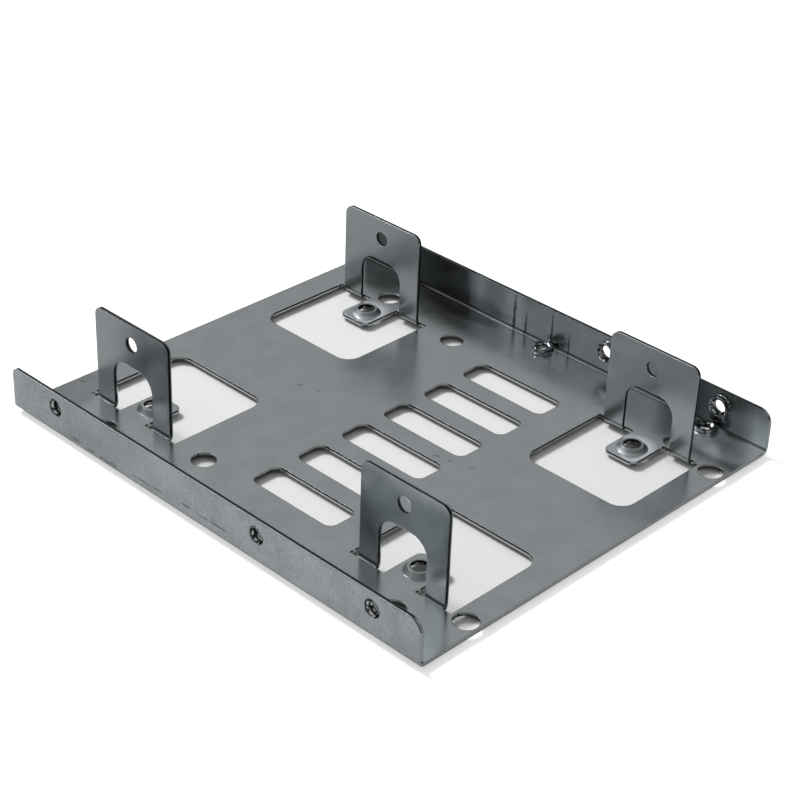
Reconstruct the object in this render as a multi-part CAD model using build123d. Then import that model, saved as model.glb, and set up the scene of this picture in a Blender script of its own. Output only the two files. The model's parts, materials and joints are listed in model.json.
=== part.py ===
from build123d import *
import os

# Drive bay adapter bracket: one sheet of zinc-plated steel, pierced, formed and folded.
# Lengths are in millimetres. X runs from the rear end to the front end, Y across the bay,
# Z up. The origin is on the underside, at the middle of the length and of the width.

# Sheet and folds
sheet = 0.8
bend_inside = 0.5
bend_outside = bend_inside + sheet

# Tray: a flat floor with a low flange folded up along each long side
tray_width = 101.6
tray_length = 115.8
flange_height = 9.8
flange_rear_corner = 1.5
flange_front_corner = 3.0
rear_end = -tray_length / 2
front_end = tray_length / 2

# Ears: four tall tabs folded up out of the floor, two on each side of the small drive
ear_gap = 70.0
ear_height = 22.2
ear_corner = 2.0
ear_hole_height = 17.6
ear_hole = 3.4
ear_pitch = 76.6
rear_ear_from_end = 20.0
rear_ear_length = 22.8
front_ear_length = 22.0

# Windows: what is left open in the floor where the ears were folded up
rear_window_length = 26.8
front_window_length = 25.8
window_inner_edge = 12.0
window_corner = 3.5

# Arches through the ears, and the tongues that stay flat in the floor under them
arch_length = 12.2
arch_height = 12.4
arch_corner = 4.0
tongue_length = 8.0
tongue_corner = 1.6
tongue_past_hole = 4.5
drive_screw_rows = 61.72
drive_screw_hole = 3.6

# Raised seats on the tongues, round the drive screw holes
seat_rise = 1.0
seat_foot = 6.5
seat_top = 4.6
seat_hollow_foot = 5.7
seat_hollow_top = 4.3

# Extruded collars, tapped for bay screws
thread_major = 3.5
collar_outside = 4.5
collar_rise = 1.1
collar_root = 0.2
collar_mouth = 0.25

# Side screw holes in the flanges, counted from the rear end
side_hole_height = 6.35
side_hole_from_end = 13.9
side_hole_steps = (60.0, 30.0)

# Floor screw holes for the bay
floor_collar_rows = 95.25
floor_collar_pitch = 44.45
floor_collar_from_end = 57.9

# Plain round holes in the floor
plain_hole = 5.2
inner_hole_rows = 71.6
inner_hole_from_end = 41.75
inner_hole_pitch = 71.0
outer_hole_from_end = 18.8
outer_hole_pitch = 82.4
outer_hole_left_row = 42.6
outer_hole_right_row = 39.4

# Six slots across the middle of the floor
slot_count = 6
slot_pitch = 12.0
slot_length = 22.7
slot_width = 7.4
slot_corner = 2.0
slot_middle_from_end = 64.35

# Worked out from the sizes above
ear_inner_face = ear_gap / 2
ear_outer_face = ear_inner_face + sheet
fold_line = ear_outer_face + bend_inside
rear_ear = rear_end + rear_ear_from_end
front_ear = rear_ear + ear_pitch
through = 2 * sheet + 2 * seat_rise


def rounded_prism(length, width, corners, height):
    """Upright prism over a rectangle, with the corners that the test picks rounded."""
    outline = Rectangle(length, width)
    radius, picked = corners
    outline = fillet([v for v in outline.vertices() if picked(v)], radius)
    return extrude(outline, height, both=True)


def tray():
    """Floor and both flanges: one channel section, drawn along the length."""
    outside = Pos(0, flange_height / 2) * Rectangle(tray_width, flange_height)
    low = outside.vertices().group_by(Axis.Y)[0]
    outside = fillet(low, bend_outside)
    hollow_height = flange_height - sheet
    hollow_width = tray_width - 2 * sheet
    inside = Pos(0, sheet + hollow_height / 2) * Rectangle(hollow_width, hollow_height)
    low = inside.vertices().group_by(Axis.Y)[0]
    inside = fillet(low, bend_inside)
    section = Plane.YZ * (outside - inside)
    channel = extrude(section, tray_length / 2, both=True)
    tips = channel.edges().filter_by(Axis.Y).group_by(Axis.Z)[-1]
    channel = fillet(tips.group_by(Axis.X)[0], flange_rear_corner)
    tips = channel.edges().filter_by(Axis.Y).group_by(Axis.Z)[-1]
    return fillet(tips.group_by(Axis.X)[-1], flange_front_corner)


def window(length):
    """Cut for one window on the right side, from its inner edge out to the fold of the ear."""
    depth = fold_line - window_inner_edge
    cut = rounded_prism(length, depth, (window_corner, lambda v: v.Y < 0), through)
    return Pos(0, window_inner_edge + depth / 2, 0) * cut


def ear(length):
    """One ear on the right side: an angle section with its arch, its hole and round corners."""
    foot = fold_line + sheet - ear_inner_face
    outside = Pos(ear_inner_face + foot / 2, ear_height / 2) * Rectangle(foot, ear_height)
    heel = outside.vertices().group_by(Axis.X)[0].group_by(Axis.Y)[0]
    outside = fillet(heel, bend_outside)
    wall = ear_height - sheet
    shelf = foot - sheet
    inside = Pos(ear_outer_face + shelf / 2, sheet + wall / 2) * Rectangle(shelf, wall)
    crook = inside.vertices().group_by(Axis.X)[0].group_by(Axis.Y)[0]
    inside = fillet(crook, bend_inside)
    blank = extrude(Plane.YZ * (outside - inside), length / 2, both=True)
    tips = blank.edges().filter_by(Axis.Y).group_by(Axis.Z)[-1]
    blank = fillet(tips, ear_corner)
    arch = Pos(0, arch_height / 2) * Rectangle(arch_length, arch_height)
    crown = arch.vertices().group_by(Axis.Y)[-1]
    arch = fillet(crown, arch_corner)
    across = Plane.XZ.offset(-ear_inner_face)
    opening = extrude(across * arch, -2 * foot, both=True)
    hole = extrude(across * (Pos(0, ear_hole_height) * Circle(ear_hole / 2)), -2 * foot, both=True)
    return blank - opening - hole


def tongue():
    """Flat tongue on the right side, reaching in through the arch, with its raised seat."""
    tip = drive_screw_rows / 2 - tongue_past_hole
    reach = fold_line - tip
    outline = Pos(0, tip + reach / 2) * Rectangle(tongue_length, reach)
    outline = fillet(outline.vertices().group_by(Axis.Y)[0], tongue_corner)
    plate = extrude(outline, sheet)
    place = Pos(0, drive_screw_rows / 2, 0)
    cone = place * Pos(0, 0, sheet) * Cone(
        seat_foot / 2, seat_top / 2, seat_rise, align=(Align.CENTER, Align.CENTER, Align.MIN))
    hollow = place * Cone(
        seat_hollow_foot / 2, seat_hollow_top / 2, seat_rise,
        align=(Align.CENTER, Align.CENTER, Align.MIN))
    hole = place * Cylinder(drive_screw_hole / 2, 2 * through)
    return plate + cone - hollow - hole


def collar():
    """Metal of one extruded collar, standing on the sheet's upper side at the origin."""
    wall = collar_outside / 2
    on_sheet = (Align.CENTER, Align.CENTER, Align.MIN)
    tube = Cylinder(wall, sheet + collar_rise, align=on_sheet)
    root = Pos(0, 0, sheet) * Cone(wall + collar_root, wall, collar_root, align=on_sheet)
    return tube + root


def bore():
    """Cut for one collar's bore, wider at the mouth where the metal was drawn in."""
    radius = thread_major / 2
    from_below = (Align.CENTER, Align.CENTER, Align.MIN)
    hole = Cylinder(radius, through + collar_rise, align=from_below)
    mouth = Cone(radius + collar_mouth, radius, collar_mouth, align=from_below)
    return hole + mouth


def collar_places():
    """Frames of the collars: each one's Z points the way its metal was drawn."""
    places = []
    along = rear_end + side_hole_from_end
    for step in (0, *side_hole_steps):
        along = along + step
        left = Location((along, -tray_width / 2, side_hole_height), (-90, 0, 0))
        right = Location((along, tray_width / 2, side_hole_height), (90, 0, 0))
        places += [left, right]
    for number in range(2):
        along = rear_end + floor_collar_from_end + number * floor_collar_pitch
        for side in (-1, 1):
            places.append(Location((along, side * floor_collar_rows / 2, 0)))
    return places


def plain_hole_places():
    """Middles of the eight plain round holes in the floor."""
    places = []
    for number in range(2):
        inner = rear_end + inner_hole_from_end + number * inner_hole_pitch
        outer = rear_end + outer_hole_from_end + number * outer_hole_pitch
        places += [Pos(inner, -inner_hole_rows / 2, 0), Pos(inner, inner_hole_rows / 2, 0)]
        places += [Pos(outer, -outer_hole_left_row, 0), Pos(outer, outer_hole_right_row, 0)]
    return places


def slots():
    """Cuts for the row of slots across the middle."""
    cut = rounded_prism(slot_length, slot_width, (slot_corner, lambda v: True), through)
    middle = rear_end + slot_middle_from_end
    first = -(slot_count - 1) / 2 * slot_pitch
    return [Pos(middle, first + number * slot_pitch, 0) * cut for number in range(slot_count)]


def bracket():
    """The whole folded sheet."""
    body = tray()
    stations = (
        (rear_ear, rear_ear_length, rear_window_length),
        (front_ear, front_ear_length, front_window_length),
    )
    for along, ear_length, window_length in stations:
        opened = Pos(along, 0, 0) * window(window_length)
        raised = Pos(along, 0, 0) * (ear(ear_length) + tongue())
        body = body - opened - mirror(opened, about=Plane.XZ)
        body = body + raised + mirror(raised, about=Plane.XZ)
    body = body - slots()
    body = body - [place * Cylinder(plain_hole / 2, through) for place in plain_hole_places()]
    for place in collar_places():
        body = body + place * collar() - place * bore()
    return body


os.makedirs("parts", exist_ok=True)
export_step(bracket(), "parts/bracket.step")
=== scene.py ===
import json
import math

import bmesh
import bpy
from mathutils import Matrix, Vector


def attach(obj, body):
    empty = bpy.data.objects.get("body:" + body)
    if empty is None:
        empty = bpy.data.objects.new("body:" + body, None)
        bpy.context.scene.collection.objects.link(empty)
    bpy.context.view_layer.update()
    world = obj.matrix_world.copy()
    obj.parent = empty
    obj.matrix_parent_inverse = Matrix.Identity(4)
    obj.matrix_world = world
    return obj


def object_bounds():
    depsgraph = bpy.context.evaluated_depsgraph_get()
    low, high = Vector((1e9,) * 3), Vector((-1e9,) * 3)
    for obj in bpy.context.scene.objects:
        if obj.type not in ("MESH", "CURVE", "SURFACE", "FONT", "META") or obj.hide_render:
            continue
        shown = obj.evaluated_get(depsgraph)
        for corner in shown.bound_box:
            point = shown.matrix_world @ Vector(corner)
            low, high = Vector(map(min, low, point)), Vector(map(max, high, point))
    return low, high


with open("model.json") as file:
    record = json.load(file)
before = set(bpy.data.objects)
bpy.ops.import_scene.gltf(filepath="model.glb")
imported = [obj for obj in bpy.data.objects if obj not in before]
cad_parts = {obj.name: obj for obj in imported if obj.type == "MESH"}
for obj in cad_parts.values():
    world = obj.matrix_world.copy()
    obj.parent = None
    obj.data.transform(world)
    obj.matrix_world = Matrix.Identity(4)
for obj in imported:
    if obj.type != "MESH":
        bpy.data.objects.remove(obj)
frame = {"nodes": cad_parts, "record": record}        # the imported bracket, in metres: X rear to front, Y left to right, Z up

mm = 0.001
cadBox = [list(corner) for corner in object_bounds()]
bracket = frame["nodes"]["bracket"]
mounts = {mount["name"]: mount for mount in frame["record"]["mounts"]}
print("bracket loaded")


# Small helpers for shader nodes

def addNode(tree, kind, inputs=(), **settings):
    node = tree.nodes.new(kind)
    for name, value in settings.items():
        setattr(node, name, value)
    for name, value in dict(inputs).items():
        socket = node.inputs[name]
        if isinstance(value, bpy.types.NodeSocket):
            tree.links.new(value, socket)
        else:
            socket.default_value = value
    return node


def mathNode(tree, operation, a, b=0.0):
    return addNode(tree, "ShaderNodeMath", {0: a, 1: b}, operation=operation).outputs[0]


def vectorNode(tree, operation, first, second=(0.0, 0.0, 0.0)):
    return addNode(tree, "ShaderNodeVectorMath", {0: first, 1: second}, operation=operation).outputs


def plus(tree, a, b):
    return mathNode(tree, "ADD", a, b)


def minus(tree, a, b):
    return mathNode(tree, "SUBTRACT", a, b)


def times(tree, *values):
    product = values[0]
    for value in values[1:]:
        product = mathNode(tree, "MULTIPLY", product, value)
    return product


def larger(tree, a, b):
    return mathNode(tree, "MAXIMUM", a, b)


def smaller(tree, a, b):
    return mathNode(tree, "MINIMUM", a, b)


def distance(tree, value, middle=0.0):
    return mathNode(tree, "ABSOLUTE", minus(tree, value, middle))


def lengthOf(tree, first, second):
    return mathNode(tree, "SQRT", plus(tree, times(tree, first, first), times(tree, second, second)))


def smoothRange(tree, value, low, high, toLow=0.0, toHigh=1.0):
    node = addNode(tree, "ShaderNodeMapRange",
                   {"Value": value, "From Min": low, "From Max": high, "To Min": toLow, "To Max": toHigh},
                   interpolation_type="SMOOTHSTEP")
    return node.outputs["Result"]


def above(tree, value, level, fade):
    # 0 up to the level, 1 from a fade's width past it
    return smoothRange(tree, value, level, level + fade)


def below(tree, value, level, fade):
    # 1 up to the level, 0 from a fade's width past it
    return smoothRange(tree, value, level + fade, level)


def without(tree, mask, taken):
    return times(tree, mask, minus(tree, 1.0, taken))


def mixColour(tree, factor, first, second, blend="MIX"):
    return addNode(tree, "ShaderNodeMix", {0: factor, 6: first, 7: second},
                   data_type="RGBA", blend_type=blend).outputs[2]


def paint(tree, colour, mask, amount, over):
    return mixColour(tree, times(tree, mask, amount), colour, over)


def newGroup(name, inputs, outputs):
    group = bpy.data.node_groups.new(name, "ShaderNodeTree")
    for label, kind, default in inputs:
        socket = group.interface.new_socket(label, in_out="INPUT", socket_type=kind)
        if default is not None:
            socket.default_value = default
    for label, kind in outputs:
        group.interface.new_socket(label, in_out="OUTPUT", socket_type=kind)
    entry = group.nodes.new("NodeGroupInput")
    leave = group.nodes.new("NodeGroupOutput")
    return group, entry.outputs, leave.inputs


def placeGroup(tree, group, inputs=()):
    return addNode(tree, "ShaderNodeGroup", inputs, node_tree=group).outputs


# Shared effects

effects = {
    "lineScale": 900.0,
    "lineStretch": (0.04, 1.0, 0.35),
    "lineRoughness": 0.6,
    "mottleScale": 160.0,
    "mottleRoughness": 0.55,
    "speckleScale": 1500.0,
    "edgeSoftRadius": 0.18 * mm,
    "wearAndHighlightBand": (0.999, 0.93),       # how far the softened normal turns from the face's own
    "smudgeEdge": (1.6, 0.9),
    "spotEdge": (1.0, 0.6),
}


def rolledGrainGroup(look):
    # fine lines that the mill leaves along the sheet, and the soft mottle of the plating over them
    group, entry, leave = newGroup(
        "rolledGrain",
        [("Position", "NodeSocketVector", None), ("Line Scale", "NodeSocketFloat", look["lineScale"]),
         ("Mottle Scale", "NodeSocketFloat", look["mottleScale"]),
         ("Speckle Scale", "NodeSocketFloat", look["speckleScale"])],
        [("Lines", "NodeSocketFloat"), ("Mottle", "NodeSocketFloat"), ("Speckle", "NodeSocketFloat")])
    position = entry["Position"]
    stretched = vectorNode(group, "MULTIPLY", position, look["lineStretch"])[0]
    for label, where, scale, detail, roughness in (
            ("Lines", stretched, "Line Scale", 3.0, look["lineRoughness"]),
            ("Mottle", position, "Mottle Scale", 3.0, look["mottleRoughness"]),
            ("Speckle", position, "Speckle Scale", 2.0, look["lineRoughness"])):
        noise = addNode(group, "ShaderNodeTexNoise", {
            "Vector": where, "Scale": entry[scale], "Detail": detail, "Roughness": roughness})
        group.links.new(noise.outputs["Fac"], leave[label])
    return group


def edgeWearAndHighlightGroup(look):
    # softens every corner over the radius, and finds the band beside it
    group, entry, leave = newGroup(
        "edgeWearAndHighlight", [("Radius", "NodeSocketFloat", look["edgeSoftRadius"])],
        [("Normal", "NodeSocketVector"), ("Edge", "NodeSocketFloat")])
    soft = addNode(group, "ShaderNodeBevel", {"Radius": entry["Radius"]}, samples=4).outputs[0]
    flat = addNode(group, "ShaderNodeNewGeometry").outputs["Normal"]
    alike = vectorNode(group, "DOT_PRODUCT", soft, flat)["Value"]
    group.links.new(soft, leave["Normal"])
    group.links.new(smoothRange(group, alike, *look["wearAndHighlightBand"]), leave["Edge"])
    return group


def ringOfFourGroup():
    # distance from the nearest of four upright lines that stand evenly about a middle
    group, entry, leave = newGroup(
        "ringOfFour",
        [("Position", "NodeSocketVector", None), ("Middle X", "NodeSocketFloat", 0.0),
         ("Half X", "NodeSocketFloat", 0.0), ("Half Y", "NodeSocketFloat", 0.0)],
        [("Distance", "NodeSocketFloat")])
    place = addNode(group, "ShaderNodeSeparateXYZ", {0: entry["Position"]}).outputs
    along = minus(group, distance(group, place["X"], entry["Middle X"]), entry["Half X"])
    across = minus(group, distance(group, place["Y"]), entry["Half Y"])
    group.links.new(lengthOf(group, along, across), leave["Distance"])
    return group


def smudgeGroup(look):
    # one soft oval mark, longer along its turned axis, with a ragged outline
    group, entry, leave = newGroup(
        "smudge",
        [("Across", "NodeSocketFloat", 0.0), ("Up", "NodeSocketFloat", 0.0),
         ("Ragged", "NodeSocketFloat", 0.5),
         ("Middle Across", "NodeSocketFloat", 0.0), ("Middle Up", "NodeSocketFloat", 0.0),
         ("Half Length", "NodeSocketFloat", 1.0 * mm), ("Half Width", "NodeSocketFloat", 1.0 * mm),
         ("Turn Cosine", "NodeSocketFloat", 1.0), ("Turn Sine", "NodeSocketFloat", 0.0)],
        [("Mask", "NodeSocketFloat")])
    across = minus(group, entry["Across"], entry["Middle Across"])
    up = minus(group, entry["Up"], entry["Middle Up"])
    cosine, sine = entry["Turn Cosine"], entry["Turn Sine"]
    along = plus(group, times(group, across, cosine), times(group, up, sine))
    aside = minus(group, times(group, up, cosine), times(group, across, sine))
    far = lengthOf(group, mathNode(group, "DIVIDE", along, entry["Half Length"]),
                   mathNode(group, "DIVIDE", aside, entry["Half Width"]))
    ragged = plus(group, far, entry["Ragged"])
    group.links.new(smoothRange(group, ragged, *look["smudgeEdge"]), leave["Mask"])
    return group


def softSpotGroup(look):
    # one soft round patch in space, flat in its middle
    group, entry, leave = newGroup(
        "softSpot",
        [("Position", "NodeSocketVector", None), ("Middle", "NodeSocketVector", (0.0, 0.0, 0.0)),
         ("Half Size", "NodeSocketVector", (1.0 * mm, 1.0 * mm, 1.0 * mm))],
        [("Mask", "NodeSocketFloat")])
    away = vectorNode(group, "SUBTRACT", entry["Position"], entry["Middle"])[0]
    scaled = vectorNode(group, "DIVIDE", away, entry["Half Size"])[0]
    far = vectorNode(group, "LENGTH", scaled)["Value"]
    group.links.new(smoothRange(group, far, *look["spotEdge"]), leave["Mask"])
    return group


rolledGrain = rolledGrainGroup(effects)
edgeWearAndHighlight = edgeWearAndHighlightGroup(effects)
ringOfFour = ringOfFourGroup()
smudge = smudgeGroup(effects)
softSpot = softSpotGroup(effects)
print("shared effects built")


# Plated sheet

sheetThickness = 0.8 * mm

sheetLook = {
    "plating": (0.425, 0.455, 0.468, 1.0),
    "platingDark": (0.405, 0.432, 0.444, 1.0),
    "bright": (0.60, 0.635, 0.65, 1.0),         # painted glints on the drawn collars
    "paintedDark": (0.07, 0.072, 0.076, 1.0),          # painted shade between the painted glints, in the painted reflections on the right flange, and across the ears' feet
    "fractureAndShade": (0.025, 0.028, 0.031, 1.0),     # torn half of a cut edge, beside the sheet's upper side; also painted shade in the bores and low on the rear walls, and the dark of the threads' painted glints
    "burnishAndHighlight": (0.78, 0.80, 0.81, 1.0),         # smooth half, beside its underside; also painted light on the front end, and the bright of the threads' painted glints
    "paintedGlint": (0.97, 0.98, 0.98, 1.0),        # painted glints low in the seats' bores
    # painted shade in the inside curves of the folds
    "fold": (0.05, 0.053, 0.056, 1.0),
    # paler rims, partly from rubbing and partly painted highlight; also painted highlight on the flanges'
    # lower bends and high on the rear walls
    "burrAndHighlight": (0.66, 0.675, 0.685, 1.0),
    # scuffs, and painted shade along the flanges' tops and on the seats' flanks
    "scuffAndShade": (0.17, 0.175, 0.18, 1.0),

    # how much of each colour lies over what is under it
    "outsideTone": 0.26,                        # the flanges' outsides are this much paler
    "toneLimits": (0.15, 2.2),
    "speckleWander": 0.10,                      # how far the tone wanders on the flanges' outsides
    "mottleWander": 0.05,
    "wanderElsewhere": 0.18,                    # and the share of it on the rest
    "scuffs": 0.65,
    # painted reflections streaking the inside of the right flange
    "runs": 0.9,
    # paler rims, partly from rubbing and partly painted highlight
    "rubsAndHighlights": 0.3,
    "tornLines": 0.75,
    # painted highlight low on the flanges' outsides
    "lowBendHighlight": 0.7,
    # painted shade along the flanges' tops
    "topShade": 0.6,
    # painted glints on the collars; painted shade in the folds, across the ears' feet, in the tapped bores
    # and on the seats' flanks
    "collars": 0.85,
    "folds": 0.85,
    "heels": 0.75,
    "tapped": 0.85,
    "seatFlanks": 0.45,
    # painted shade low on the rear walls, painted highlight high on them
    "rearDark": 0.95,
    "rearLight": 0.8,
    "notches": 0.75,

    # how the noises are read
    "noiseRange": (0.3, 0.7),
    "mottleRange": (0.35, 0.65),
    "glintRange": (0.44, 0.60),
    "raggedness": (-0.1, 0.5),

    "roughness": (0.20, 0.25),
    "rougher": {"tornCut": 0.3, "outside": 0.1, "folded": 0.4, "rubbedAndLit": 0.25, "seatFlank": 0.16,
                "collars": -0.08, "handled": 0.12},
    "linesInBump": 0.5,
    "bumpStrength": 0.035,
    "bumpHeight": 0.03 * mm,

    # where things are
    "flangeOutside": cadBox[1][1],
    "flangeInside": cadBox[1][1] - sheetThickness,
    "frontEnd": cadBox[1][0],
    "earInside": 35.0 * mm,
    "foldTop": 1.3 * mm,                        # where ears and flanges are straight again
    "foldSpot": 0.95 * mm,                      # height of the middle of a fold's inside curve
    "burnishDepth": 0.38 * mm,
    "tornLineDepth": 0.40 * mm,
    "seatDepth": 0.14 * mm,                     # the raised metal counts as this much nearer the upper side
    "seatBore": 1.83 * mm,
    "seatFoot": 3.2 * mm,
    "tappedBore": 1.84 * mm,
    "collarFoot": 2.4 * mm,
    "heelHeight": 1.5 * mm,                     # painted shade: the dark line across the foot of each ear, where its bend starts
    "lowBendHighlightFrom": (1.5 * mm, 0.3 * mm),         # painted highlight round the flanges' lower outer bends, where they reflect the bright floor
    "topShadeFrom": (9.55 * mm, 9.7 * mm),        # painted shade: darker line along their tops
    "slotEnds": -3.0 * mm,                      # the slots' rear ends lie within 4 mm of this
    "plainHoles": ((19.35, 35.5, 35.8), (2.1, 41.2, 41.0)),     # middle X, half X and half Y, both rings
    "reliefNotches": (((-50.3, -35.7, 0.4), (1.9, 1.1, 1.2)), ((-25.5, -35.7, 0.4), (1.9, 1.1, 1.2))),
    "handledCorner": ((50.0, 46.0, 0.8), (14.0, 7.0, 1.0)),
}

# small marks on the floor's upper side: middle X and Y, length, width, turn in degrees
floorScuffs = (
    (14.1, -0.6, 1.6, 0.5, 20), (17.1, 0.0, 0.9, 0.45, -30), (21.8, 1.4, 1.1, 0.35, 50),
    (5.7, 42.0, 1.4, 0.35, 10), (6.8, 43.3, 0.9, 0.4, -20), (-24.5, -2.0, 1.3, 0.4, 65),
    (-20.2, -0.9, 0.8, 0.4, 0), (-56.2, -34.7, 1.2, 0.6, 30),
)

# painted reflections: dark streaks on the inside of the right flange: middle X, width, height of the top
flangeReflectionStreaks = (
    (-32.0, 1.1, 3.6), (-24.6, 0.9, 4.6), (-10.6, 0.8, 8.8), (-7.2, 0.6, 5.2), (0.3, 0.5, 9.2),
    (2.2, 0.8, 2.4), (5.3, 0.45, 5.6),
)

# dark rub marks low on the outside of the left flange: middle X and Z, length, width
flangeScuffs = (
    (-38.0, 1.9, 3.0, 0.5), (-33.0, 1.5, 2.4, 0.4), (-27.5, 1.5, 5.0, 0.6), (-16.5, 2.2, 5.0, 0.45),
    (-12.5, 2.4, 3.0, 0.4), (-3.5, 2.9, 3.0, 0.5), (1.5, 2.8, 2.5, 0.4), (5.0, 2.9, 4.0, 0.5),
)

# painted light and shade: patches where the plating is painted paler or darker, among them the ears' dark
# reflections on the right flange; middle, half sizes, and how much
paintedLightPatches = (
    ((-34.0, 50.0, 5.0), (13.0, 1.2, 30.0), -0.86),     # right flange, rear to front
    ((-54.0, 50.0, 5.0), (14.0, 1.2, 30.0), -0.8),
    ((42.0, 50.0, 5.0), (14.0, 1.2, 30.0), -0.6),
    ((60.0, 50.0, 6.0), (7.2, 1.2, 30.0), 0.5),
    ((-15.0, 50.0, 5.0), (8.0, 1.2, 30.0), 0.3),
    ((-37.9, -35.8, 21.0), (14.0, 0.3, 7.0), -0.05),    # left ears
    ((-29.5, -35.8, 11.0), (5.0, 0.3, 8.0), 0.6),
    ((38.7, -35.8, 22.0), (16.0, 0.3, 14.0), 1.35),
    ((47.0, -35.8, 8.0), (4.5, 0.3, 9.0), 0.75),
    ((29.5, -35.8, 3.0), (5.0, 0.3, 8.0), -0.4),
    ((-36.0, 35.0, 14.0), (20.0, 0.3, 19.0), -0.13),    # right ears
    ((38.0, 35.0, 16.0), (20.0, 0.3, 22.0), 0.1),
    ((53.0, 47.0, 0.8), (14.0, 8.0, 1.0), 0.8),         # floor beside the flanges, and the tongues
    ((-25.0, 48.0, 0.8), (14.0, 4.0, 1.0), -0.5),
    ((-56.0, -40.0, 0.8), (9.0, 12.0, 1.0), -0.25),
    ((-37.9, 30.0, 0.8), (6.0, 7.0, 0.6), 0.95),
    ((38.7, 30.0, 0.8), (6.0, 7.0, 0.6), 0.95),
    ((-37.0, -50.8, 5.0), (22.0, 0.5, 20.0), -0.16),    # left flange
    ((29.0, -50.8, 5.0), (20.0, 0.5, 20.0), 0.04),
)


def whereOnSheet(tree):
    # a point's place, its distance from the middle line, and the way its face is turned
    geometry = addNode(tree, "ShaderNodeNewGeometry").outputs
    place = addNode(tree, "ShaderNodeSeparateXYZ", {0: geometry["Position"]}).outputs
    facing = addNode(tree, "ShaderNodeSeparateXYZ", {0: geometry["True Normal"]}).outputs
    return {"position": geometry["Position"], "along": place["X"], "across": place["Y"], "up": place["Z"],
            "aside": distance(tree, place["Y"]), "facing": facing}


def throughSheet(tree, at, look):
    # how far a point lies through the sheet from its underside, which is the outside of the
    # flanges and the inside of the ears
    fromFlange = minus(tree, look["flangeOutside"], at["aside"])
    nearerMiddle = mathNode(tree, "LESS_THAN", at["aside"], look["earInside"] - 0.1 * mm)
    fromEar = plus(tree, minus(tree, at["aside"], look["earInside"]), nearerMiddle)
    return smaller(tree, at["up"], smaller(tree, fromFlange, fromEar))


def aboveFloor(tree, at):
    return above(tree, at["up"], sheetThickness + 0.02 * mm, 0.08 * mm)


def cutEdges(tree, at, look):
    # edges of the ears and flanges above the folds, and walls through the floor
    notSideways = smoothRange(tree, distance(tree, at["facing"]["Y"]), 0.5, 0.3)
    aboveFold = above(tree, at["up"], look["foldTop"], 0.15 * mm)
    onFlange = above(tree, at["aside"], look["flangeInside"] - 0.07 * mm, 0.06 * mm)
    fromEar = distance(tree, at["aside"], look["earInside"] + sheetThickness / 2)
    onEar = below(tree, fromEar, 0.42 * mm, 0.05 * mm)
    raised = times(tree, notSideways, aboveFold, larger(tree, onFlange, onEar))
    upright = smoothRange(tree, distance(tree, at["facing"]["Z"]), 0.35, 0.25)
    inFloor = below(tree, at["up"], sheetThickness - 0.03 * mm, 0.03 * mm)
    return larger(tree, raised, times(tree, upright, inFloor))


def insideFolds(tree, at, look):
    # the inside curves where flanges and ears rise from the floor
    flangeSpot = look["flangeOutside"] - look["foldSpot"]
    earSpot = look["earInside"] + look["foldSpot"]
    rise = minus(tree, at["up"], look["foldSpot"])
    near = [lengthOf(tree, minus(tree, at["aside"], spot), rise) for spot in (flangeSpot, earSpot)]
    close = below(tree, smaller(tree, *near), 0.40 * mm, 0.26 * mm)
    offFloor = above(tree, at["up"], sheetThickness + 0.002 * mm, 0.018 * mm)
    return times(tree, close, offFloor)


def smudges(tree, across, up, ragged, marks):
    # the strongest of several smudges; each mark gives its middle, half sizes and turn
    strongest = 0.0
    for middleAcross, middleUp, halfLength, halfWidth, turn in marks:
        spot = placeGroup(tree, smudge, {
            "Across": across, "Up": up, "Ragged": ragged,
            "Middle Across": middleAcross, "Middle Up": middleUp, "Half Length": halfLength,
            "Half Width": halfWidth, "Turn Cosine": math.cos(turn), "Turn Sine": math.sin(turn)})
        strongest = larger(tree, strongest, spot["Mask"])
    return strongest


def floorMarks(tree, at, ragged):
    marks = [(x * mm, y * mm, length * mm / 2, width * mm / 2, math.radians(turn))
             for x, y, length, width, turn in floorScuffs]
    onTop = below(tree, at["up"], sheetThickness + 0.05 * mm, 0.05 * mm)
    return times(tree, smudges(tree, at["along"], at["across"], ragged, marks), onTop)


def outerMarks(tree, at, ragged, outside):
    marks = [(x * mm, z * mm, length * mm / 2, width * mm / 2, 0.0)
             for x, z, length, width in flangeScuffs]
    onLeft = mathNode(tree, "LESS_THAN", at["across"], 0.0)
    return times(tree, smudges(tree, at["along"], at["up"], ragged, marks), outside, onLeft)


def innerReflectionStreaks(tree, at, ragged, outside, look):
    # painted reflections: dark streaks down the inside of the right flange
    low = look["foldSpot"]
    marks = [(x * mm, low, width * mm / 2, top * mm - low, 0.0) for x, width, top in flangeReflectionStreaks]
    onRight = above(tree, at["across"], look["flangeInside"] - 0.6 * mm, 0.5 * mm)
    inner = smoothRange(tree, outside, 1.0, 0.0)
    return times(tree, smudges(tree, at["along"], at["up"], ragged, marks), onRight, inner)


def spotMask(tree, at, middle, half):
    return placeGroup(tree, softSpot, {
        "Position": at["position"], "Middle": [v * mm for v in middle],
        "Half Size": [v * mm for v in half]})["Mask"]


def paintedLightTone(tree, at, outside, look):
    # painted light and shade: what the plating's colour is multiplied by, patch by patch
    tone = plus(tree, 1.0, times(tree, outside, look["outsideTone"]))
    for middle, half, amount in paintedLightPatches:
        tone = plus(tree, tone, times(tree, spotMask(tree, at, middle, half), amount))
    darkest, palest = look["toneLimits"]
    return smaller(tree, larger(tree, tone, darkest), palest)


def holesOf(name):
    # centres and direction of a mount's holes, from the record
    mount = mounts[name]
    centre, axis, dims = Vector(mount["pos_m"]), Vector(mount["axis"]), mount["dims"]
    alongX = dims.get("spacing_x_mm", 0.0) * mm / 2
    alongY = dims.get("spacing_y_mm", 0.0) * mm / 2
    spots = {(i * alongX, j * alongY) for i in (-1, 1) for j in (-1, 1)}
    return [(centre + Vector((x, y, 0.0)), axis) for x, y in sorted(spots)]


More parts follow.
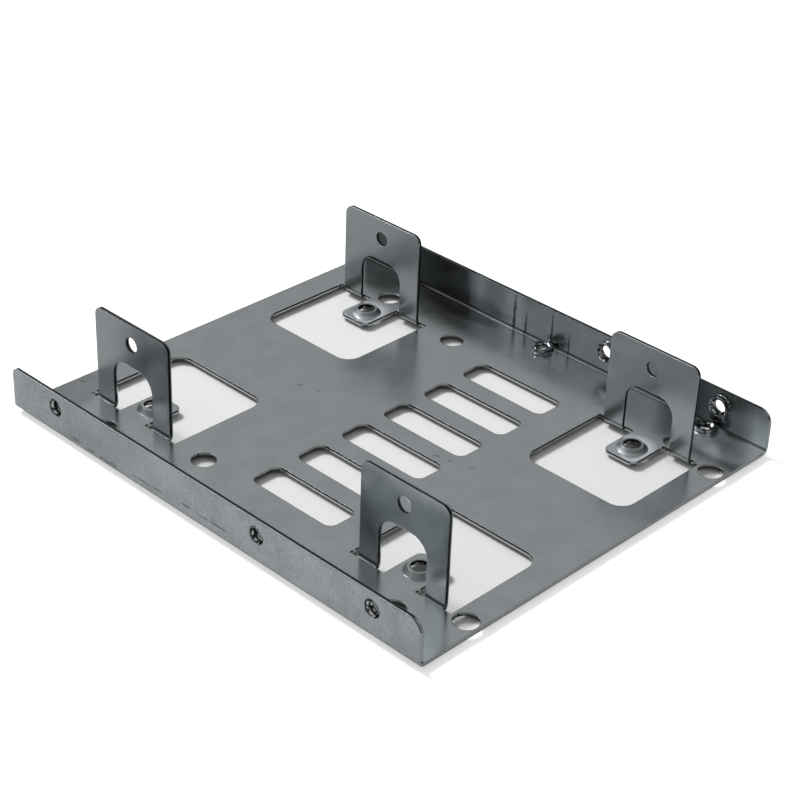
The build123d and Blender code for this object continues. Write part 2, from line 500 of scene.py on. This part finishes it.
def ringDistance(tree, at, middleX, halfX, halfY):
    return placeGroup(tree, ringOfFour, {
        "Position": at["position"], "Middle X": middleX, "Half X": halfX, "Half Y": halfY})["Distance"]


def fourHoles(tree, at, name):
    # distance from the nearest hole of a mount that has four
    mount = mounts[name]
    halfX, halfY = [mount["dims"][key] * mm / 2 for key in ("spacing_x_mm", "spacing_y_mm")]
    return ringDistance(tree, at, mount["pos_m"][0], halfX, halfY)


def tappedBores(tree, at, look):
    # painted shade: the walls of the tapped holes in the flanges are painted dark behind their threads
    nearest = 1.0                               # a metre, farther than any hole
    for name in ("bay_side_screws_left", "bay_side_front_screw_left"):
        for centre, _ in holesOf(name):
            far = lengthOf(tree, minus(tree, at["along"], centre.x), minus(tree, at["up"], centre.z))
            nearest = smaller(tree, nearest, far)
    inFlange = above(tree, at["aside"], look["flangeOutside"] - 2.4 * mm, 0.2 * mm)
    return times(tree, below(tree, nearest, look["tappedBore"], 0.08 * mm), inFlange)


def raisedCollars(tree, at, look):
    # the drawn metal of the collars in the floor and in the flanges
    flangeInside = look["flangeInside"]
    inFloor = below(tree, fourHoles(tree, at, "bay_floor_screws"), look["collarFoot"], 0.2 * mm)
    offFlange = below(tree, at["aside"], flangeInside - 0.4 * mm, 0.2 * mm)
    inFloor = times(tree, inFloor, aboveFloor(tree, at), offFlange)
    inward = times(tree, above(tree, at["aside"], flangeInside - 1.2 * mm, 0.05 * mm),
                   below(tree, at["aside"], flangeInside - 0.07 * mm, 0.04 * mm),
                   above(tree, at["up"], 1.5 * mm, 0.2 * mm))
    return larger(tree, inFloor, inward)


def sheetZones(tree, at, speckle, wornAndLitEdge, look):
    # masks of everything on the sheet that looks different from plain plating
    zones = {"cut": cutEdges(tree, at, look), "folded": insideFolds(tree, at, look)}
    zones["raised"] = aboveFloor(tree, at)
    depth = plus(tree, throughSheet(tree, at, look), times(tree, zones["raised"], look["seatDepth"]))

    # painted light: the front end faces the light, so its cut keeps the light smooth colour all through and
    # takes no painted shade; on the right the flange's round corner does too
    onRight = mathNode(tree, "GREATER_THAN", at["across"], 0.0)
    fromX = smoothRange(tree, onRight, 0.0, 1.0, look["frontEnd"] - 0.2 * mm, look["frontEnd"] - 2.6 * mm)
    toX = smoothRange(tree, onRight, 0.0, 1.0, look["frontEnd"] - 0.05 * mm, look["frontEnd"] - 1.2 * mm)
    zones["frontEnd"] = smoothRange(tree, at["along"], fromX, toX)
    torn = above(tree, depth, look["burnishDepth"] - 0.04 * mm, 0.08 * mm)
    zones["torn"] = without(tree, torn, zones["frontEnd"])
    zones["tornCut"] = times(tree, zones["cut"], zones["torn"])

    zones["outside"] = above(tree, at["aside"], look["flangeOutside"] - 0.2 * mm, 0.15 * mm)
    seat = fourHoles(tree, at, "lower_drive_screws")
    zones["seatBore"] = below(tree, seat, look["seatBore"], 0.07 * mm)
    zones["seatFlank"] = times(tree, below(tree, seat, look["seatFoot"], 0.2 * mm), zones["raised"])
    zones["collars"] = raisedCollars(tree, at, look)
    zones["tapped"] = tappedBores(tree, at, look)
    zones["handled"] = spotMask(tree, at, *look["handledCorner"])

    # edges: dark lines beside the torn half; paler lines elsewhere, partly from rubbing and partly painted
    # highlight
    wornAndLit = without(tree, wornAndLitEdge, zones["folded"])
    nearTorn = without(tree, above(tree, depth, look["tornLineDepth"], 0.08 * mm), zones["seatFlank"])
    zones["rubbedAndLit"] = without(tree, wornAndLit, nearTorn)
    zones["tornLine"] = times(tree, wornAndLit, nearTorn)
    zones["glint"] = smoothRange(tree, speckle, *look["glintRange"])
    return zones


def platingColour(tree, at, grain, zones, look):
    outside = zones["outside"]
    pale = smoothRange(tree, grain["Mottle"], *look["mottleRange"])
    colour = mixColour(tree, pale, look["platingDark"], look["plating"])
    colour = mixColour(tree, 1.0, colour, paintedLightTone(tree, at, outside, look), "MULTIPLY")
    speckled, mottled = look["speckleWander"], look["mottleWander"]
    wander = plus(tree, smoothRange(tree, grain["Speckle"], *look["noiseRange"], -speckled, speckled),
                  smoothRange(tree, grain["Mottle"], *look["mottleRange"], -mottled, mottled))
    strength = smoothRange(tree, outside, 0.0, 1.0, look["wanderElsewhere"], 1.0)
    wander = plus(tree, times(tree, wander, strength), 1.0)
    return mixColour(tree, 1.0, colour, wander, "MULTIPLY")


def marksAndPaintedLight(tree, colour, at, grain, zones, look):
    # scuffs, painted reflections down the right flange, paler rims that are partly from rubbing and partly
    # painted highlight, dark torn lines, and a painted highlight low and painted shade high on the flanges'
    # outsides
    outside = zones["outside"]
    ragged = smoothRange(tree, grain["Speckle"], *look["noiseRange"], *look["raggedness"])
    scuffed = larger(tree, floorMarks(tree, at, ragged), outerMarks(tree, at, ragged, outside))
    colour = paint(tree, colour, scuffed, look["scuffs"], look["scuffAndShade"])
    # painted reflections down the inside of the right flange
    colour = paint(tree, colour, innerReflectionStreaks(tree, at, ragged, outside, look), look["runs"], look["paintedDark"])
    # paler rims, partly from rubbing and partly painted highlight
    colour = paint(tree, colour, zones["rubbedAndLit"], look["rubsAndHighlights"], look["burrAndHighlight"])
    colour = paint(tree, colour, zones["tornLine"], look["tornLines"], look["fractureAndShade"])
    # painted highlight round the flanges' lower outer bends
    lowOutside = times(tree, smoothRange(tree, at["up"], *look["lowBendHighlightFrom"]),
                       above(tree, at["aside"], look["flangeInside"] + 0.05 * mm, 0.25 * mm))
    colour = paint(tree, colour, lowOutside, look["lowBendHighlight"], look["burrAndHighlight"])
    # painted shade along the tops of the flanges' outsides
    topOutside = times(tree, smoothRange(tree, at["up"], *look["topShadeFrom"]), outside)
    return paint(tree, colour, topOutside, look["topShade"], look["scuffAndShade"])


def formedColour(tree, colour, at, zones, look):
    # painted glints on the collars; painted shade in the folds, across the feet of the ears, in the tapped
    # bores and on the seats' flanks; painted shade and glints in the seats' bores
    # painted glints: noise picks dark and bright patches on the collars
    collarColour = mixColour(tree, zones["glint"], look["paintedDark"], look["bright"])
    colour = paint(tree, colour, zones["collars"], look["collars"], collarColour)
    # painted shade in the inside curves of the folds
    colour = paint(tree, colour, zones["folded"], look["folds"], look["fold"])
    # painted shade across the foot of each ear
    heel = times(tree, below(tree, distance(tree, at["up"], look["heelHeight"]), 0.1 * mm, 0.15 * mm),
                 below(tree, distance(tree, at["aside"], look["earInside"]), 0.05 * mm, 0.05 * mm))
    colour = paint(tree, colour, heel, look["heels"], look["paintedDark"])
    # painted shade in the tapped bores
    colour = paint(tree, colour, zones["tapped"], look["tapped"], look["fractureAndShade"])
    # painted shade on the seats' flanks
    colour = paint(tree, colour, zones["seatFlank"], look["seatFlanks"], look["scuffAndShade"])
    # painted shade high in the seats' bores, painted glints low in them
    lowInBore = times(tree, below(tree, at["up"], 1.15 * mm, 0.2 * mm), zones["glint"])
    boreColour = mixColour(tree, lowInBore, look["fractureAndShade"], look["paintedGlint"])
    return mixColour(tree, zones["seatBore"], colour, boreColour)


def rearWalls(tree, at, zones, look):
    # walls that get painted shade and highlight: those of the openings that face the front, away from the
    # light, but for the windows' straight ones, and all walls of the plain holes
    toFront = at["facing"]["X"]
    offSlots = above(tree, distance(tree, at["along"], look["slotEnds"]), 4.0 * mm, 0.5 * mm)
    straight = times(tree, smoothRange(tree, toFront, 0.95, 0.99), offSlots)
    rear = minus(tree, smoothRange(tree, toFront, 0.2, 0.6), straight)
    fromFold = distance(tree, at["aside"], look["earInside"] + 0.7 * mm)
    rear = times(tree, rear, above(tree, fromFold, 0.8 * mm, 0.2 * mm))
    rings = [ringDistance(tree, at, middle * mm, x * mm, y * mm) for middle, x, y in look["plainHoles"]]
    inPlainHole = below(tree, smaller(tree, *rings), 4.6 * mm, 0.2 * mm)
    return without(tree, larger(tree, rear, inPlainHole), zones["frontEnd"])


def cutColour(tree, colour, at, zones, look):
    # the cut edges: smooth and light beside the underside, torn and dark beside the upper side; on the rear
    # walls it is the other way round, as painted shade low down and a painted highlight high up
    rear = rearWalls(tree, at, zones, look)
    smoothHalf = mixColour(tree, zones["raised"], look["burnishAndHighlight"], look["plating"])
    smoothHalf = paint(tree, smoothHalf, rear, look["rearDark"], look["fractureAndShade"])
    tornHalf = paint(tree, look["fractureAndShade"], rear, look["rearLight"], look["burrAndHighlight"])
    colour = mixColour(tree, zones["cut"], colour, mixColour(tree, zones["torn"], smoothHalf, tornHalf))
    notches = [spotMask(tree, at, *notch) for notch in look["reliefNotches"]]
    return paint(tree, colour, larger(tree, *notches), look["notches"], look["platingDark"])


def platedSheetMaterial(look):
    material = bpy.data.materials.new("platedSheet")
    material.use_nodes = True
    tree = material.node_tree
    shader = tree.nodes["Principled BSDF"].inputs
    at = whereOnSheet(tree)
    grain = placeGroup(tree, rolledGrain, {"Position": at["position"]})
    softEdges = placeGroup(tree, edgeWearAndHighlight)
    zones = sheetZones(tree, at, grain["Speckle"], softEdges["Edge"], look)

    colour = platingColour(tree, at, grain, zones, look)
    colour = marksAndPaintedLight(tree, colour, at, grain, zones, look)
    colour = formedColour(tree, colour, at, zones, look)
    tree.links.new(cutColour(tree, colour, at, zones, look), shader["Base Color"])
    shader["Metallic"].default_value = 1.0

    rough = smoothRange(tree, grain["Mottle"], *look["noiseRange"], *look["roughness"])
    for name, amount in look["rougher"].items():
        rough = plus(tree, rough, times(tree, zones[name], amount))
    tree.links.new(rough, shader["Roughness"])

    height = plus(tree, times(tree, grain["Lines"], look["linesInBump"]), grain["Speckle"])
    bump = addNode(tree, "ShaderNodeBump", {
        "Height": height, "Normal": softEdges["Normal"],
        "Strength": look["bumpStrength"], "Distance": look["bumpHeight"]})
    tree.links.new(bump.outputs[0], shader["Normal"])
    return material


platedSheet = platedSheetMaterial(sheetLook)
for slot in bracket.material_slots:
    slot.material = platedSheet
print("plated sheet dressed, slots:", len(bracket.material_slots))


# Threads in the tapped collars

threadShape = {
    "pitch": 25.4 * mm / 32,
    "ridgeHeight": 0.33 * mm,
    "rootWidth": 0.62 * mm,
    "crestWidth": 0.12 * mm,
    "sink": 0.04 * mm,          # how far the root reaches into the wall
    "from": 0.33 * mm,          # measured from the mouth
    "to": 1.80 * mm,
    "stepsPerTurn": 40,
    "fadeTurns": 0.3,
    "sharpAngle": 40,           # degrees
    "mottleScale": 1300.0,
    "glint": (0.47, 0.58),
    "roughness": (0.10, 0.18),
}


def mouthOf(centre, axis):
    # the point on the hole's line where the sheet's outer face is
    low, high = Vector(cadBox[0]), Vector(cadBox[1])
    spot = centre.copy()
    for k in range(3):
        if abs(axis[k]) > 0.5:
            spot[k] = high[k] if axis[k] > 0 else low[k]
    return spot


def addThread(mesh, mouth, inward, radius, shape):
    # a V ridge wound up the bore, fading out at both ends
    turned = Vector((0, 0, 1)).rotation_difference(inward).to_matrix().to_4x4()
    place = Matrix.Translation(mouth) @ turned
    turns = (shape["to"] - shape["from"]) / shape["pitch"]
    steps = round(turns * shape["stepsPerTurn"])
    root = radius + shape["sink"]
    halfRoot, halfCrest = shape["rootWidth"] / 2, shape["crestWidth"] / 2
    previous = None
    for step in range(steps + 1):
        done = step / steps * turns
        fade = min(1.0, done / shape["fadeTurns"], (turns - done) / shape["fadeTurns"])
        middle = shape["from"] + done * shape["pitch"]
        crest = radius - shape["ridgeHeight"] * fade
        angle = math.tau * done
        ring = []
        for r, z in ((root, -halfRoot), (crest, -halfCrest), (crest, halfCrest), (root, halfRoot)):
            spot = Vector((r * math.cos(angle), r * math.sin(angle), middle + z))
            ring.append(mesh.verts.new(place @ spot))
        if previous:
            for k in range(4):
                mesh.faces.new((previous[k], previous[(k + 1) % 4], ring[(k + 1) % 4], ring[k]))
        else:
            mesh.faces.new(ring)
        previous = ring
    mesh.faces.new(list(reversed(previous)))


def threadMaterial(look, shape):
    material = bpy.data.materials.new("tappedThread")
    material.use_nodes = True
    tree = material.node_tree
    shader = tree.nodes["Principled BSDF"].inputs
    position = addNode(tree, "ShaderNodeNewGeometry").outputs["Position"]
    grain = placeGroup(tree, rolledGrain, {"Position": position, "Mottle Scale": shape["mottleScale"]})
    # painted glints: noise picks dark and bright patches on the threads
    glint = smoothRange(tree, grain["Mottle"], *shape["glint"])
    tree.links.new(mixColour(tree, glint, look["fractureAndShade"], look["burnishAndHighlight"]), shader["Base Color"])
    rough = smoothRange(tree, grain["Mottle"], *look["noiseRange"], *shape["roughness"])
    tree.links.new(rough, shader["Roughness"])
    shader["Metallic"].default_value = 1.0
    return material


def collarThreads(shape):
    mesh = bmesh.new()
    for name in mounts:
        if not name.startswith("bay_"):
            continue
        dims = mounts[name]["dims"]
        radius = dims.get("r_mm", dims.get("hole_r_mm")) * mm
        for centre, axis in holesOf(name):
            addThread(mesh, mouthOf(centre, axis), -axis, radius, shape)
    bmesh.ops.recalc_face_normals(mesh, faces=mesh.faces)
    data = bpy.data.meshes.new("collar_threads")
    mesh.to_mesh(data)
    mesh.free()
    data.shade_smooth()
    data.set_sharp_from_angle(angle=math.radians(shape["sharpAngle"]))
    piece = bpy.data.objects.new("collar_threads", data)
    bpy.context.collection.objects.link(piece)
    data.materials.append(threadMaterial(sheetLook, shape))
    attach(piece, "root")


collarThreads(threadShape)
print("threads wound")


# Floor, light and camera

studio = {
    "floorDrop": 0.85 * mm,
    "floorSize": 6.0,
    "floorShade": 0.86,
    "floorInMetal": 0.56,           # the same floor as the bright metal shows it
    "underLength": 113.0 * mm,      # the floor under the bracket is left as it is lit; beside it a
    "underWidth": 97.0 * mm,        # little is added for the camera, up to the white of the paper
    "underFade": 2.0 * mm,
    "floorLift": 0.52,
    "horizon": 0.10,                # light of the room, low down
    "wall": 0.53,                   # and higher up
    "wallFrom": (0.25, 0.44),       # heights between which it grows
    "leftSide": 0.10,
    "leftFrom": (0.2, -0.6),
    "frontSide": 0.6,
    "frontFrom": (-0.42, -0.02),
    "softbox": 14.5,
    "lampPlace": (-0.90, -0.07, 1.08),
    "lampSize": 0.38,
}
white = (1.0, 1.0, 1.0, 1.0)


def grey(level):
    return (level, level, level, 1.0)


def floorMaterial(settings):
    material = bpy.data.materials.new("paleFloor")
    material.use_nodes = True
    tree = material.node_tree
    tree.nodes.remove(tree.nodes["Principled BSDF"])
    position = addNode(tree, "ShaderNodeNewGeometry").outputs["Position"]
    place = addNode(tree, "ShaderNodeSeparateXYZ", {0: position}).outputs
    fade = settings["underFade"]
    beyond = [above(tree, distance(tree, place[axis]), size / 2 - fade, fade)
              for axis, size in (("X", settings["underLength"]), ("Y", settings["underWidth"]))]
    path = addNode(tree, "ShaderNodeLightPath").outputs
    shade, inMetal = grey(settings["floorShade"]), grey(settings["floorInMetal"])
    colour = mixColour(tree, path["Is Glossy Ray"], shade, inMetal)
    matte = addNode(tree, "ShaderNodeBsdfDiffuse", {"Color": colour}).outputs[0]
    beside = times(tree, path["Is Camera Ray"], larger(tree, *beyond))
    strength = times(tree, beside, settings["floorLift"])
    lift = addNode(tree, "ShaderNodeEmission", {"Color": white, "Strength": strength}).outputs[0]
    both = addNode(tree, "ShaderNodeAddShader", {0: matte, 1: lift}).outputs[0]
    tree.links.new(both, tree.nodes["Material Output"].inputs["Surface"])
    return material


def studioFloor(settings):
    mesh = bmesh.new()
    bmesh.ops.create_grid(mesh, x_segments=1, y_segments=1, size=settings["floorSize"] / 2)
    data = bpy.data.meshes.new("studio_floor")
    mesh.to_mesh(data)
    mesh.free()
    data.materials.append(floorMaterial(settings))
    floor = bpy.data.objects.new("studio_floor", data)
    bpy.context.collection.objects.link(floor)
    floor.location.z = cadBox[0][2] - settings["floorDrop"]


def softRoom(settings):
    # the room's light, dim near the horizon, stronger from the left and weaker from the front
    world = bpy.data.worlds.new("softRoom")
    bpy.context.scene.world = world
    world.use_nodes = True
    tree = world.node_tree
    background = tree.nodes["Background"].inputs
    direction = addNode(tree, "ShaderNodeTexCoord").outputs["Generated"]
    way = addNode(tree, "ShaderNodeSeparateXYZ", {0: direction}).outputs
    level = smoothRange(tree, way["Z"], *settings["wallFrom"], settings["horizon"], settings["wall"])
    level = plus(tree, level, smoothRange(tree, way["Y"], *settings["leftFrom"], 0.0, settings["leftSide"]))
    fromFront = smoothRange(tree, way["X"], *settings["frontFrom"], 1.0, settings["frontSide"])
    tree.links.new(times(tree, level, fromFront), background["Strength"])
    background["Color"].default_value = white


def softbox(settings):
    lamp = bpy.data.lights.new("softbox", "AREA")
    lamp.shape = "RECTANGLE"
    lamp.size = settings["lampSize"]
    lamp.size_y = settings["lampSize"]
    lamp.energy = settings["softbox"]
    box = bpy.data.objects.new("softbox", lamp)
    box.location = settings["lampPlace"]
    box.rotation_euler = (-box.location).to_track_quat("-Z", "Y").to_euler()
    bpy.context.collection.objects.link(box)


cameraFit = {
    "place": (240.751, -251.650, 218.701),      # millimetres, from the photograph's outlines
    "lookAt": (-6.936, 10.246, 0.0),
    "roll": 2.296,
    "focalLength": 2010.84 / 800,               # as a share of the image width
    "sensorWidth": 36.0,
    "clip": (0.01, 20.0),
}


def photoCamera(fit):
    data = bpy.data.cameras.new("photoCamera")
    data.sensor_width = fit["sensorWidth"]
    data.lens = fit["focalLength"] * fit["sensorWidth"]
    data.clip_start, data.clip_end = fit["clip"]
    camera = bpy.data.objects.new("photoCamera", data)
    bpy.context.collection.objects.link(camera)
    place, target = Vector(fit["place"]) * mm, Vector(fit["lookAt"]) * mm
    aim = (target - place).to_track_quat("-Z", "Y").to_matrix().to_4x4()
    roll = Matrix.Rotation(math.radians(fit["roll"]), 4, "Z")
    camera.matrix_world = Matrix.Translation(place) @ aim @ roll
    bpy.context.scene.camera = camera


studioFloor(studio)
softRoom(studio)
softbox(studio)
photoCamera(cameraFit)
bpy.context.scene.view_settings.view_transform = "Standard"
print("studio set")
